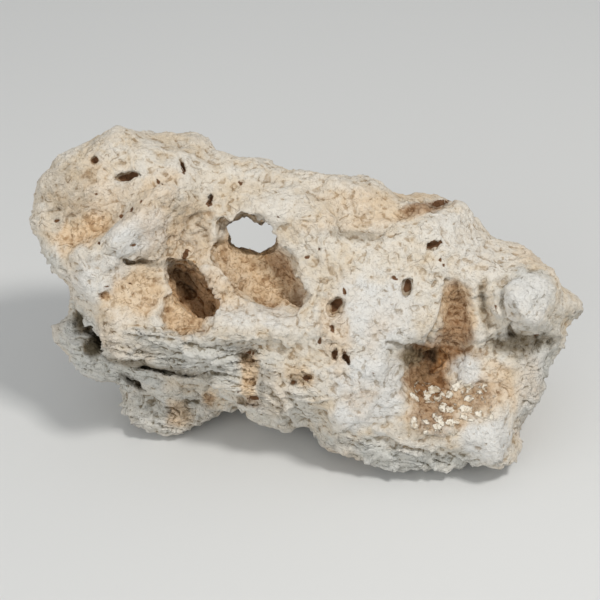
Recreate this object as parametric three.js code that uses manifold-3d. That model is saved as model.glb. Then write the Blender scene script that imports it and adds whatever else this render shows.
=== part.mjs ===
// A holey limestone rock: one weathered slab, about 28 cm long, that stands on its broad underside
// and leans back. A deep hollow in its face breaks through to the back as a window, a second hole
// ends blind beside it, a brown hollow lies under a knob at the right, and bedding ledges with dark
// gaps between them run along the lower left. It is one natural piece, so it is one mesh.
//
// The rock is shaped in the frame of its broad face and then leant back onto the ground:
//   u runs to the right, v up along the face, w out of the face. All sizes are in millimetres.
import * as THREE from "three";
import { ImprovedNoise } from "three/addons/math/ImprovedNoise.js";
import { SimplifyModifier } from "three/addons/modifiers/SimplifyModifier.js";
import { mergeVertices } from "three/addons/utils/BufferGeometryUtils.js";
import Module from "manifold-3d";

const wasm = await Module();
wasm.setup();

// ---- Driving dimensions ----
const LEAN = THREE.MathUtils.degToRad(35); // how far the broad face leans back from upright
const CELL = 3; // spacing of the grid that the weathered surface is drawn on
const TRIANGLES = 9600; // what the finished surface is simplified to
const GROUND = -71.5; // height of the ground under the middle of the face, once the rock is leant back

// ---- Outlines of the two beds, as seen square to the broad face: [u, v] ----
const UPPER_BED = [
  [-136.5, 38], [-134, 49], [-134.5, 56.5], [-125.5, 69.5], [-113, 79.5], [-101, 86.5], [-89, 86.5],
  [-76, 84], [-58, 83], [-53, 80.5], [-48, 74], [-38, 71], [-20, 69.5], [-2, 66], [7, 63.5],
  [16, 65], [33, 62.5], [40, 58.5], [46, 53], [56, 56], [66, 55.5], [79, 50], [84, 44.5],
  [90, 36], [95, 31.5], [111, 25.5], [121.5, 19], [130, 9], [138.5, -1.5], [138.5, -6],
  [133, -11], [133, -23], [127, -28], [118.5, -45], [107.5, -66], [108.5, -77], [102, -84],
  [92, -88.5], [66, -86], [43, -84], [21, -80], [8.5, -80.5], [3.5, -73.5], [-1, -65.5],
  [-10, -67], [-21, -65], [-29, -60], [-34, -53.5], [-46, -46], [-62, -41], [-79, -37],
  [-96, -33.5], [-105, -24], [-114, -9.5], [-119.5, 6], [-129.5, 24], [-134, 31],
];
const LOWER_BED = [
  [-119, 2], [-124, -9.5], [-129.5, -16], [-129, -23], [-120, -36], [-107, -43], [-98.5, -44],
  [-98, -52], [-96.5, -61], [-89, -70], [-79, -74.5], [-70, -75], [-62, -71], [-49, -60.5],
  [-41, -57], [-33, -57], [-24, -60], [-6, -48], [-10, -22], [-60, -8], [-98, 8],
];

// ---- Relief of the face: hollows sink below it and swells stand above it ----
// at is the middle, size the reach along and across, turn the angle of the long way, rise the height,
// and edge, where it is given, how abruptly it ends.
const FACE_RELIEF = {
  upperBowl: { at: [-107, 50], size: [26, 22], turn: 35, rise: -10 },
  bowlFloor: { at: [-106, 37], size: [19, 13], turn: 25, rise: -8, edge: 2 },
  ridgeNose: { at: [-83, 30], size: [16, 11], turn: 25, rise: 8, edge: 5 },
  shoulder: { at: [-106, 9], size: [17, 11], turn: 40, rise: 6 },
  tanRecess: { at: [-83, 4], size: [13.5, 13.5], turn: 0, rise: -9 },
  holeRecess: { at: [-46, 16], size: [42, 25], turn: -10, rise: -10 },
  roughHollow: { at: [-58, 31], size: [10, 14], turn: 20, rise: -6 },
  septum: { at: [-41, 9], size: [6, 15], turn: 42, rise: 4 },
  sill: { at: [-32, -13], size: [30, 7], turn: -4, rise: 6 },
  topSwell: { at: [-40, 64], size: [14, 9], turn: -10, rise: 6 },
  holeBrow: { at: [-16, 49], size: [26, 11], turn: -16, rise: 7 },
  middleSwell: { at: [24, -22], size: [26, 32], turn: 0, rise: 8 },
  topBowl: { at: [29, 44], size: [20, 12], turn: 0, rise: -9 },
  rightSlope: { at: [74, 25], size: [22, 12], turn: -30, rise: 4 },
  knob: { at: [108, -1], size: [16.5, 15.5], turn: 0, rise: 9, edge: 7 },
  knobCrown: { at: [109, 0], size: [12, 13], turn: 0, rise: 6, edge: 2 },
  brownHollow: { at: [63, -37], size: [17, 15], turn: 0, rise: -20 },
  hollowApron: { at: [90, -42], size: [17, 14], turn: 20, rise: -10 },
  hollowHump: { at: [77, -38], size: [8, 8], turn: 0, rise: 5 },
  hollowFoot: { at: [63, -57], size: [22, 9], turn: 0, rise: -5 },
  cornerSwell: { at: [90, -73], size: [16, 10], turn: 0, rise: 7 },
};
// Ridges and grooves along a path: half widths to its left and to its right as it runs.
const FACE_LINES = {
  bowlRidge: { path: [[-121, 22], [-106, 26], [-94, 32], [-87, 40], [-67, 54]], widths: [3.5, 10], rise: 9 },
  bowlRim: { path: [[-133, 36], [-126, 62]], widths: [5, 5], rise: 4 },
  topSeam: { path: [[-56, 60], [-51, 42]], widths: [4, 4], rise: -4 },
  topGroove: { path: [[48, 42.5], [69, 49]], widths: [4.5, 4.5], rise: -9 },
  topLip: { path: [[47, 53], [74, 54]], widths: [5, 5], rise: 3 },
  knobArc: { path: [[100, 15], [94.5, 8], [94.5, 2], [99, -10]], widths: [3, 3], rise: -5 },
  knobShadow: { path: [[92, -22], [120, -21]], widths: [5, 8], rise: -9 },
  channelTop: { path: [[72, 9], [73.5, 1]], widths: [3.5, 3.5], rise: -5 },
  brownChannel: { path: [[74, -5], [73, -22]], widths: [7.5, 8], rise: -11 },
  channelEdge: { path: [[86, 9], [86.5, -4], [93, -16]], widths: [2.6, 2.6], rise: -4 },
  hollowLip: { path: [[42, -24], [58, -26]], widths: [2.5, 5], rise: -5 },
  pitSeam: { path: [[-29, -27], [-27, -51]], widths: [5.5, 5.5], rise: -5 },
  foldA: { path: [[-21, -41], [-8, -62]], widths: [3.5, 3.5], rise: -6 },
  foldB: { path: [[-10, -42], [0, -62]], widths: [4, 4], rise: -5 },
  ledgeA: { path: [[-92, -21], [-62, -27]], widths: [3, 3], rise: -5 },
  ledgeB: { path: [[-64, -31], [-34, -38]], widths: [3, 3], rise: -5 },
  ledgeC: { path: [[-56, -22], [-8, -26]], widths: [3, 3], rise: -4 },
  bandA: { path: [[12, -66], [46, -74]], widths: [3, 3], rise: -4 },
  bandB: { path: [[40, -70], [74, -79]], widths: [3, 3], rise: -4 },
};
// The same on the front of the lower bed: a plate that overhangs the foot, and the foot's own swell.
const LOWER_RELIEF = {
  footSwell: { at: [-77, -66], size: [15, 7], turn: 0, rise: 3 },
  lobeHollow: { at: [-110, -14], size: [9, 8], turn: -50, rise: -5 },
};
const LOWER_LINES = {
  plate: { path: [[-88, -38], [-76, -42], [-58, -43], [-42, -43]], widths: [7, 4], rise: 10 },
  plateShadow: { path: [[-84, -50], [-68, -54], [-52, -51]], widths: [3, 6], rise: -9 },
};
const BACK_RELIEF = {
  windowRecess: { at: [-30, 36], size: [34, 26], turn: 0, rise: -22 },
  leftSwell: { at: [-92, 35], size: [24, 24], turn: 0, rise: 8 },
  rightBowl: { at: [52, 12], size: [26, 20], turn: -20, rise: -13 },
  rightSwell: { at: [96, -12], size: [20, 24], turn: 0, rise: 7 },
  lowBowl: { at: [-62, -12], size: [22, 14], turn: 20, rise: -10 },
};
const BACK_LINES = {
  backRidge: { path: [[-8, 60], [22, -10]], widths: [12, 12], rise: 9 },
  backGroove: { path: [[66, 48], [112, 6]], widths: [7, 7], rise: -8 },
  backSeam: { path: [[-128, 30], [-74, 58]], widths: [6, 6], rise: -6 },
};

// ---- Places where the rock touches the ground: [across, back], with a reach ----
const FEET = [
  { at: [58, -33], reach: 22 },
  { at: [-70, -18], reach: 15 },
  { at: [20, 34], reach: 24 },
  { at: [92, -14], reach: 14 },
];
const GROUND_CLEARANCE = 5; // how far the underside stays off the ground between its feet

// ---- Weathering ----
const LUMPS = [
  { length: 46, height: 3 },
  { length: 21, height: 2.2 },
  { length: 11, height: 1.2 },
];
const RIM = 36; // how far in from its outline a bed reaches its full thickness
const SIDE_WANDER = 20; // how far the sides wander in and out between the middle and the faces
const CREASE = 3; // radius of the fillet where two masses meet

const perlin = new ImprovedNoise();

/** Sum of the lumps at a point, shifted by seed so that each use differs. */
function lumps(x, y, z, seed) {
  return LUMPS.reduce(
    (sum, { length, height }) =>
      sum + height * perlin.noise(x / length + seed, y / length - seed, z / length + 2 * seed),
    0,
  );
}

/** The smaller of two distances, with a fillet where they are close. */
function smoothMin(a, b, radius) {
  const h = Math.max(radius - Math.abs(a - b), 0) / radius;
  return Math.min(a, b) - (h * h * radius) / 4;
}

// ---- Outlines ----

/** A function that gives how far (u, v) is inside a smooth closed outline, and minus how far outside. */
function insetOf(corners) {
  const curve = new THREE.CatmullRomCurve3(
    corners.map(([u, v]) => new THREE.Vector3(u, v, 0)),
    true,
    "centripetal",
  );
  const ring = curve.getPoints(corners.length * 4);
  return (u, v) => {
    let nearest = Infinity;
    let inside = false;
    for (let i = 1; i < ring.length; i++) {
      const a = ring[i - 1];
      const b = ring[i];
      const du = b.x - a.x;
      const dv = b.y - a.y;
      const along = ((u - a.x) * du + (v - a.y) * dv) / (du * du + dv * dv);
      const t = THREE.MathUtils.clamp(along, 0, 1);
      nearest = Math.min(nearest, Math.hypot(u - a.x - t * du, v - a.y - t * dv));
      if (a.y > v !== b.y > v && u < a.x + ((v - a.y) / dv) * du) inside = !inside;
    }
    return inside ? nearest : -nearest;
  };
}

// ---- Relief ----

/** Height of one round hollow or swell at (u, v). */
function swellAt({ at, size, turn, rise, edge = 3 }, u, v) {
  const angle = THREE.MathUtils.degToRad(turn);
  const du = u - at[0];
  const dv = v - at[1];
  const along = (du * Math.cos(angle) + dv * Math.sin(angle)) / size[0];
  const across = (dv * Math.cos(angle) - du * Math.sin(angle)) / size[1];
  return rise * Math.exp(-(Math.hypot(along, across) ** edge));
}

/** Height of one ridge or groove at (u, v). */
function lineAt({ path, widths, rise }, u, v) {
  let off = Infinity;
  for (let i = 1; i < path.length; i++) {
    const [[fromU, fromV], [toU, toV]] = [path[i - 1], path[i]];
    const du = toU - fromU;
    const dv = toV - fromV;
    const along = ((u - fromU) * du + (v - fromV) * dv) / (du * du + dv * dv);
    const t = THREE.MathUtils.clamp(along, 0, 1);
    const offU = u - fromU - t * du;
    const offV = v - fromV - t * dv;
    const width = du * offV > dv * offU ? widths[0] : widths[1];
    off = Math.min(off, Math.hypot(offU, offV) / width);
  }
  return rise * Math.exp(-off * off);
}

/** Height of a whole relief at (u, v). */
function reliefAt(swells, lines, u, v) {
  const round = Object.values(swells).reduce((sum, s) => sum + swellAt(s, u, v), 0);
  return Object.values(lines).reduce((sum, l) => sum + lineAt(l, u, v), round);
}

// ---- The beds, as distances that are negative inside ----

/** A bed inside its outline, its middle plane at w = middle, thick to the front and to the back. */
function bed(insetAt, u, v, w, middle, front, back) {
  const out = w - middle;
  const depth = out / (out > 0 ? front : back);
  // Away from the middle plane the sides wander, so that they are not straight walls.
  const wander = SIDE_WANDER * Math.min(Math.abs(depth), 1);
  const uShift = wander * perlin.noise(u / 34, v / 34, w / 28 + 5);
  const vShift = wander * perlin.noise(u / 34 + 9, v / 34, w / 28);
  const edge = Math.max(1 - insetAt(u + uShift, v + vShift) / RIM, 0);
  return (Math.hypot(depth, edge) - 1) * RIM;
}

const upperInset = insetOf(UPPER_BED);
const lowerInset = insetOf(LOWER_BED);

/** The main mass. Its back grows thicker towards the foot, which lets the rock stand. */
function upperBed(u, v, w) {
  const lowness = THREE.MathUtils.smoothstep(-v, -45, 50);
  const overhang = 10 * THREE.MathUtils.smoothstep(-u, 20, 110);
  const front = 37 + reliefAt(FACE_RELIEF, FACE_LINES, u, v);
  const back = 36 + 40 * lowness + reliefAt(BACK_RELIEF, BACK_LINES, u, v);
  return bed(upperInset, u, v, w, overhang - 4 * lowness, front, back);
}

/** The bed below it at the left, set back under the main mass, which carries the left foot. */
function lowerBed(u, v, w) {
  const setBack = -14 - 9 * THREE.MathUtils.smoothstep(-v, 10, 70);
  const front = 17 + reliefAt(LOWER_RELIEF, LOWER_LINES, u, v);
  return bed(lowerInset, u, v, w, setBack, front, 36);
}

/** Height of the ground at a point: level under each foot, and lower between them. */
function groundAt(x, y) {
  const foot = Math.max(...FEET.map(({ at, reach }) => {
    const off = Math.hypot(x - at[0], y - at[1]) / reach;
    return Math.exp(-(off ** 3));
  }));
  return GROUND + GROUND_CLEARANCE * (1 - 1.5 * foot) + lumps(x, y, 0, 7) * 0.6;
}

/** The weathered rock, before its holes are cut. */
function rock(u, v, w) {
  const beds = smoothMin(upperBed(u, v, w), lowerBed(u, v, w), CREASE);
  const x = u;
  const y = v * Math.sin(LEAN) - w * Math.cos(LEAN);
  const z = v * Math.cos(LEAN) + w * Math.sin(LEAN);
  const underside = groundAt(x, y) - z;
  return -smoothMin(-beds, -underside, 2 * CREASE) + lumps(u, v, w, 0);
}

// ---- The surface ----

const REACH = new THREE.Box3(new THREE.Vector3(-148, -96, -88), new THREE.Vector3(148, 96, 66));

/** The closed surface where a field is zero, with one point in each grid cell that it crosses. */
function surfaceOf(field, box, cell) {
  const size = box.getSize(new THREE.Vector3());
  const count = size.toArray().map((length) => Math.ceil(length / cell) + 1);
  const step = [1, count[0], count[0] * count[1]];
  const corner = (i, j, k) => i * step[0] + j * step[1] + k * step[2];
  const place = (i, j, k) => [box.min.x + i * cell, box.min.y + j * cell, box.min.z + k * cell];
  const value = new Float32Array(count[0] * count[1] * count[2]);
  for (let k = 0; k < count[2]; k++)
    for (let j = 0; j < count[1]; j++)
      for (let i = 0; i < count[0]; i++) value[corner(i, j, k)] = field(...place(i, j, k));
  while (unpinch(value, step));

  // One vertex in each crossed cell, at the mean of where the surface crosses the cell's edges.
  const vertexOf = new Map();
  const positions = [];
  for (let k = 0; k < count[2] - 1; k++)
    for (let j = 0; j < count[1] - 1; j++)
      for (let i = 0; i < count[0] - 1; i++) {
        const crossings = cellCrossings(value, corner(i, j, k), step);
        if (!crossings.length) continue;
        const mean = [0, 1, 2].map(
          (axis) => crossings.reduce((sum, c) => sum + c[axis], 0) / crossings.length,
        );
        vertexOf.set(corner(i, j, k), positions.length / 3);
        positions.push(...place(i + mean[0], j + mean[1], k + mean[2]));
      }

  // One quad round each grid edge that the surface crosses.
  const index = [];
  for (const [at] of vertexOf)
    for (let axis = 0; axis < 3; axis++) {
      const [s, t] = [step[(axis + 1) % 3], step[(axis + 2) % 3]];
      const inward = value[at] < 0;
      if (inward === value[at + step[axis]] < 0) continue;
      const [a, b, c, d] = [at, at - s, at - s - t, at - t].map((at) => vertexOf.get(at));
      index.push(...(inward ? [a, b, c, a, c, d] : [a, c, b, a, d, c]));
    }
  const geometry = new THREE.BufferGeometry();
  geometry.setAttribute("position", new THREE.Float32BufferAttribute(positions, 3));
  geometry.setIndex(index);
  return geometry;
}

/**
 * Moves the surface off the grid squares that it crosses twice, where two of its sheets would touch
 * along an edge. Says whether it found any.
 */
function unpinch(value, step) {
  let found = false;
  for (let axis = 0; axis < 3; axis++) {
    const [s, t] = [step[axis], step[(axis + 1) % 3]];
    for (let at = 0; at + s + t < value.length; at++) {
      const corners = [at, at + s, at + s + t, at + t];
      const inside = corners.map((corner) => value[corner] < 0);
      if (inside[0] !== inside[2] || inside[1] !== inside[3] || inside[0] === inside[1]) continue;
      const nearest = corners.reduce((a, b) => (Math.abs(value[a]) < Math.abs(value[b]) ? a : b));
      value[nearest] = -value[nearest];
      found = true;
    }
  }
  return found;
}

/** Where the surface crosses the twelve edges of the cell whose low corner is at, in cell units. */
function cellCrossings(value, at, step) {
  const found = [];
  for (let axis = 0; axis < 3; axis++)
    for (const s of [0, 1])
      for (const t of [0, 1]) {
        const low = at + s * step[(axis + 1) % 3] + t * step[(axis + 2) % 3];
        const [from, to] = [value[low], value[low + step[axis]]];
        if (from < 0 === to < 0) continue;
        const point = [0, 0, 0];
        point[axis] = from / (from - to);
        point[(axis + 1) % 3] = s;
        point[(axis + 2) % 3] = t;
        found.push(point);
      }
  return found;
}

/** How far out the rock's face is at (u, v), or its back where side is -1. */
function faceAt(u, v, side = 1) {
  let w = side > 0 ? REACH.max.z : REACH.min.z;
  while (rock(u, v, w) > 0 && Math.abs(w) <= 90) w -= side * 0.5;
  return w;
}

// ---- Holes and pits, cut as rough ellipsoids ----
// at is where it opens on the face, sink how far its middle lies below that, size its half lengths
// along, across and into the face, turn the angle of its long way.
const HOLES = {
  windowMouth: { at: [-27.5, 32.5], sink: 12, size: [14.5, 10.5, 26], turn: -12 },
  windowPocket: { at: [-23.5, 15.5], sink: -1, size: [31, 14.5, 14], turn: -42 },
  windowExit: { at: [-27.5, 33.5], sink: 38, size: [14, 10, 26], turn: -15 },
  blindHole: { at: [-56, 4.5], sink: 6, size: [18, 9.5, 20], turn: -48 },
  blindChamber: { at: [-55, 0], sink: 20, size: [11, 8, 9], turn: -40 },
  tanPocket: { at: [-60, -6.5], sink: -2, size: [15, 12.5, 12], turn: -15 },
  noseSlit: { at: [-82, 18.5], sink: 1, size: [6, 2.2, 6], turn: 5 },
  ledgeGapLeft: { at: [-107, -20], sink: 9, size: [21, 4.5, 16], turn: -50 },
  ledgeGapRight: { at: [-72, -35.5], sink: 8, size: [21, 2.6, 12], turn: -10 },
  footGap: { at: [-86.5, -43.5], sink: 4, size: [7, 3, 9], turn: -38 },
  archGap: { at: [-40, -49], sink: 6, size: [11, 3.5, 9], turn: -8 },
  knobGap: { at: [106, -17], sink: 1, size: [11, 2.6, 4.5], turn: -6 },
  hollowCorner: { at: [64, -29], sink: 0, size: [6, 7, 6], turn: -20 },
};
const PITS = [
  { at: [67, 48.5], size: [6.5, 2], turn: 15 },
  { at: [-87.5, 60], size: [6.3, 2.4], turn: 8 },
  { at: [-104.5, 68.5], size: [2.6, 2.2], turn: 0 },
  { at: [-47.5, 49], size: [2.4, 3.8], turn: 0 },
  { at: [-61, 65.5], size: [2, 6], turn: 12 },
  { at: [-98.5, 2], size: [3, 2.3], turn: 0 },
  { at: [62, 27], size: [4.2, 2.8], turn: 10 },
  { at: [49, 6], size: [5, 2.8], turn: 80 },
  { at: [14, -3], size: [5.6, 3.2], turn: 65 },
  { at: [13.5, -27], size: [1.8, 4], turn: -10 },
  { at: [19, -28.5], size: [2, 5], turn: 25 },
  { at: [0, -38.5], size: [2.6, 2.4], turn: 0 },
  { at: [-6, -40], size: [4.5, 3.6], turn: 0 },
  { at: [-29.5, -29], size: [4.5, 3.2], turn: 0 },
  { at: [-27.5, -40], size: [3.2, 3.2], turn: 0 },
  { at: [-29, -51], size: [4.6, 3], turn: 0 },
  { at: [-74.5, -15], size: [2, 1.7], turn: 0 },
];
const BACK_PITS = [
  { at: [-96, 50], size: [7, 4], turn: 30 },
  { at: [-70, 22], size: [5, 3.5], turn: -20 },
  { at: [-104, 20], size: [3.5, 3], turn: 0 },
  { at: [22, 40], size: [8, 5], turn: -50 },
  { at: [8, 22], size: [4, 3], turn: 10 },
  { at: [60, 18], size: [9, 6], turn: 25 },
  { at: [84, -8], size: [5, 3.5], turn: 60 },
  { at: [102, -24], size: [4, 3], turn: 0 },
  { at: [-44, -6], size: [7, 4], turn: 15 },
];
const PIT_DEPTH = 1.2; // depth of a pit below the surface, as a share of its mean half width
const HOLE_ROUGHNESS = 0.16; // how uneven a hole's wall is, as a share of its size

/** A rough ellipsoid with half lengths size, turned about the face's normal, at point at. */
function hollow(at, size, turn, detail, seed) {
  const shape = new THREE.IcosahedronGeometry(1, detail);
  shape.deleteAttribute("normal");
  shape.deleteAttribute("uv");
  const ball = mergeVertices(shape);
  const place = ball.getAttribute("position");
  const point = new THREE.Vector3();
  for (let i = 0; i < place.count; i++) {
    point.fromBufferAttribute(place, i);
    const wave = perlin.noise(point.x * 1.7 + seed, point.y * 1.7, point.z * 1.7 - seed);
    point.multiplyScalar(1 + HOLE_ROUGHNESS * wave * 2);
    place.setXYZ(i, point.x, point.y, point.z);
  }
  ball.scale(...size);
  ball.rotateZ(THREE.MathUtils.degToRad(turn));
  ball.translate(...at);
  return ball;
}

/** A hole's cutter, sunk below the face. */
function holeCutter({ at, sink, size, turn }, seed) {
  const [u, v] = at;
  const detail = Math.max(...size) > 20 ? 8 : 5;
  return hollow([u, v, faceAt(u, v) - sink], size, turn, detail, seed);
}

/** A pit's cutter, as deep as it is wide, on the face or, where side is -1, on the back. */
function pitCutter({ at, size, turn }, side, seed) {
  const [u, v] = at;
  const depth = (PIT_DEPTH * (size[0] + size[1])) / 2;
  return hollow([u, v, faceAt(u, v, side)], [...size, depth], turn, 3, seed);
}

// ---- Solids ----

/** A closed geometry as a solid that can be joined and cut. */
function solidOf(geometry) {
  return new wasm.Manifold(
    new wasm.Mesh({
      numProp: 3,
      vertProperties: geometry.getAttribute("position").array,
      triVerts: new Uint32Array(geometry.index.array),
    }),
  );
}

/** A solid back as a geometry. */
function geometryOf(solid) {
  const mesh = solid.getMesh();
  const geometry = new THREE.BufferGeometry();
  geometry.setAttribute("position", new THREE.BufferAttribute(mesh.vertProperties, 3));
  geometry.setIndex(new THREE.BufferAttribute(mesh.triVerts, 1));
  return geometry;
}

/** Everything below the ground, as a slab in the frame of the face. */
function groundSlab() {
  const depth = 60;
  const slab = new THREE.BoxGeometry(400, 400, depth);
  slab.translate(0, 0, GROUND - depth / 2);
  slab.rotateX(-(Math.PI / 2 - LEAN));
  slab.deleteAttribute("normal");
  slab.deleteAttribute("uv");
  return mergeVertices(slab);
}

/** The same surface with only the points that its shape needs. */
async function simplified(geometry) {
  const extra = (geometry.index.count / 3 - TRIANGLES) / 2; // a closed surface has two faces a point
  return new SimplifyModifier().modify(geometry, Math.ceil(extra));
}

/** The whole rock, leant back and standing with its origin in the middle of its base. */
async function makeRock() {
  const cutters = [
    ...Object.values(HOLES).map((hole, i) => holeCutter(hole, i + 1)),
    ...PITS.map((pit, i) => pitCutter(pit, 1, i + 31)),
    ...BACK_PITS.map((pit, i) => pitCutter(pit, -1, i + 61)),
    groundSlab(),
  ].map(solidOf);
  const cut = cutters.reduce(
    (body, cutter) => body.subtract(cutter),
    solidOf(surfaceOf(rock, REACH, CELL)),
  );
  const whole = cut.decompose().reduce((a, b) => (a.volume() > b.volume() ? a : b));
  const geometry = await simplified(geometryOf(whole));
  geometry.rotateX(Math.PI / 2 - LEAN);
  geometry.computeBoundingBox();
  const { min, max } = geometry.boundingBox;
  geometry.translate(-(min.x + max.x) / 2, -(min.y + max.y) / 2, -min.z);
  geometry.computeVertexNormals();
  return geometry;
}

const limestone = new THREE.MeshStandardMaterial({
  color: 0xdcd3c2,
  roughness: 0.95,
  metalness: 0,
});

const holeyRock = new THREE.Group();
const rockMesh = new THREE.Mesh(await makeRock(), limestone);
rockMesh.name = "rock";
holeyRock.add(rockMesh);

export default holeyRock;
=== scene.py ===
import itertools
import math
from types import SimpleNamespace

import bpy
import numpy as np
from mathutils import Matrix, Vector
from mathutils.bvhtree import BVHTree
from mathutils.kdtree import KDTree


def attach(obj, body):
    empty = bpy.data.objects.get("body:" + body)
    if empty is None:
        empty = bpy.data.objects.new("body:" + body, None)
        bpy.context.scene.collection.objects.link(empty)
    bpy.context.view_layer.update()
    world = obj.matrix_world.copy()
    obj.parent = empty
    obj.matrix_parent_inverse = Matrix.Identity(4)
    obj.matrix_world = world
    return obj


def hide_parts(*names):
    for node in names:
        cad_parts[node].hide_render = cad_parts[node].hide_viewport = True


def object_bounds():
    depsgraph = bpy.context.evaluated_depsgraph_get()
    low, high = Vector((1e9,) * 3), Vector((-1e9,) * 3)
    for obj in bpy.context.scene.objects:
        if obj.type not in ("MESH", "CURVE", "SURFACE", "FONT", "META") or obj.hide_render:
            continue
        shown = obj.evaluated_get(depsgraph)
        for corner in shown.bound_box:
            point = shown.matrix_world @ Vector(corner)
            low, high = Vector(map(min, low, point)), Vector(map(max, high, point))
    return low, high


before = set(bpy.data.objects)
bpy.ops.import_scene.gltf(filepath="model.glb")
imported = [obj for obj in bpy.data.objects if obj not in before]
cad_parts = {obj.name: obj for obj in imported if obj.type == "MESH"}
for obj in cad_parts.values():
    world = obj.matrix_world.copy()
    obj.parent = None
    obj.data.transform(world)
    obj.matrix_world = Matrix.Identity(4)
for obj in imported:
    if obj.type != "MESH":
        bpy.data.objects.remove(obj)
cad_low, cad_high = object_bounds()

# A holey limestone rock. The CAD solid gives its forms; this script weathers its surface, stains it
# and lights it. Shapes and stains are placed in the frame of the broad face, in millimetres:
# u runs to the right, v up along the face, w out of the face.
MM = 0.001
LEAN = math.radians(35)  # how far the broad face leans back from upright
FACE_ORIGIN = np.array([-1.03, 4.03, 71.5])  # the middle of the face, in the row frame
# The way across the bedding: for each step up the face, this much to the right and outwards
BEDDING_U = 0.16
BEDDING_W = 0.1
# The same way in the row frame
BEDDING = (
    BEDDING_U,
    math.sin(LEAN) - BEDDING_W * math.cos(LEAN),
    math.cos(LEAN) + BEDDING_W * math.sin(LEAN),
)
FAR = 1e9  # further than anything here

# ---- Surface ----
GRID = 0.85  # spacing of the grid that the surface is redrawn on
FACES = 196000  # what the weathered surface is thinned to
BOX_MARGIN = 0.02  # how far inside the CAD solid's box the surface stays
FACET_SMOOTHING = 6.5  # how far round a point, squared, the CAD facets are smoothed
RIM_SHIFT = (0.7, 1.6)  # how far smoothing would move a point off a rim, and one on a rim
RIM_KEPT = 0.6  # how much of a rim's own shape is kept
GROUND_RISE = (1.5, 0.2)  # heights between which the surface goes over into the flat underside
SURFACE_SUNK = 0.3  # how far the mean surface lies under the solid's
FRONT_FACING = -0.2  # the least w of a normal on the front
FRONT_DEPTH = -30  # the least w of a point on the front

# ---- Patches ----
PATCH_REACH = 1.8  # a patch ends within this many times its size
PATCH_EDGE = 0.35  # half the width of its fading edge, as a share of its size
PATCH_NOTCH = 9  # how wide the notches in its edge are

# ---- Openness ----
PROBE_GRID = 2.6  # spacing of the points where it is worked out
SKY_REACH = 26  # what is further away than this doesn't shade a point
SKY_RAYS = 14
SKY_SEED = 7
SKY_START = 0.8  # how far above the surface a ray starts
SKY_SPREAD = 0.98  # just under 1, so that no ray runs along the surface
KNOWN_USED = 3  # how many of the nearest known points give the openness at a point
KNOWN_GAP = 0.2  # added to each distance, so that none is 0

# ---- Relief: how wide a kind of lump is, and how far it stands out ----
CELL_WARP = 0.4  # how far cells are pushed out of line, as a share of their size
LUMP, LUMP_HEIGHT = 15, 0.7
SMALL_LUMP, SMALL_LUMP_HEIGHT = 7, 0.5
GRANULE, GRANULE_HEIGHT = 2.6, 0.3
CHIP, CHIP_HEIGHT = 9, 0.7
CHIP_TILT = 1.6
SMALL_CHIP, SMALL_CHIP_HEIGHT = 4.2, 0.28
PLATE, PLATE_HEIGHT, ROUGH_PLATE_HEIGHT = 12, 0.7, 0.3
CREASE, CREASE_DEPTH = 9, 1.1
CREASE_STRETCH = np.array([0.55, 1, 0.8])  # cracks run longer along the face than up it
CRUMB, CRUMB_HEIGHT = 5.2, 0.9
SMALL_CRUMB, SMALL_CRUMB_HEIGHT = 3.0, 0.5
CRUMB_MEAN = 0.7  # what crumbs add on average, which is taken off again
GRAIN, GRAIN_HEIGHT = 3.4, 1.1
SCATTERED, SCATTERED_DEPTH = 13, 1.6


# ---------------------------------------------------------------- noise

# Large odd numbers that spread and mix the bits of a hash
SPREADERS = (73856093, 19349663, 83492791, 2654435761)
MIXERS = (2246822519, 3266489917)
WORD = 0xFFFFFFFF
FRACTION = 0xFFFFFF
NOISE_GAIN = 1.7  # brings gradient noise to about -1 to 1


def hashed(cell, seed):
    """A random number from 0 to 1 for each whole-number cell (n, 3)."""
    c = cell.astype(np.int64)
    h = c[:, 0] * SPREADERS[0] ^ c[:, 1] * SPREADERS[1] ^ c[:, 2] * SPREADERS[2]
    h = (h ^ (seed * SPREADERS[3])) & WORD
    h = (h ^ (h >> 15)) * MIXERS[0] & WORD
    h = (h ^ (h >> 13)) * MIXERS[1] & WORD
    return ((h ^ (h >> 16)) & FRACTION) / FRACTION


def hashed3(cell, seed):
    """Three random numbers from 0 to 1 for each cell."""
    return np.stack([hashed(cell, seed * 3 + k) for k in range(3)], axis=1)


def noise(points, size, seed):
    """Smooth noise of about -1 to 1, with lumps about size across."""
    p = points / size
    base = np.floor(p)
    f = p - base
    s = f * f * f * (f * (f * 6 - 15) + 10)
    total = np.zeros(len(p))
    for corner in itertools.product((0, 1), repeat=3):
        c = np.array(corner)
        slope = hashed3(base + c, seed) * 2 - 1
        weight = np.prod(np.where(c, s, 1 - s), axis=1)
        total += weight * np.einsum("ij,ij->i", slope, f - c)
    return total * NOISE_GAIN


def fractal(points, size, seed, octaves=3, gain=0.5):
    """Noise with finer noise on it."""
    total, height = 0, 1.0
    for k in range(octaves):
        total = total + height * noise(points, size / 2**k, seed + 17 * k)
        height *= gain
    return total


def neighbours(p):
    """The cell of each point and the 26 around it, one after the other."""
    base = np.floor(p)
    for offset in itertools.product((-1, 0, 1), repeat=3):
        yield base + np.array(offset)


def cells(points, size, seed):
    """How far off the nearest of scattered points is, in cells, and that point's random number."""
    p = points / size
    nearest = np.full(len(p), FAR)
    number = np.zeros(len(p))
    for cell in neighbours(p):
        gap = np.linalg.norm(cell + hashed3(cell, seed) - p, axis=1)
        number = np.where(gap < nearest, hashed(cell, seed + 99), number)
        nearest = np.minimum(nearest, gap)
    return nearest, number


def warp(points, size, seed):
    """A wandering vector for each point."""
    return np.stack([noise(points, size, seed + k) for k in (1, 2, 3)], axis=1)


def smoothstep(low, high, x):
    """0 at low, 1 at high, and smooth between."""
    t = np.clip((x - low) / (high - low), 0, 1)
    return t * t * (3 - 2 * t)


# ---------------------------------------------------------------- mesh

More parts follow.
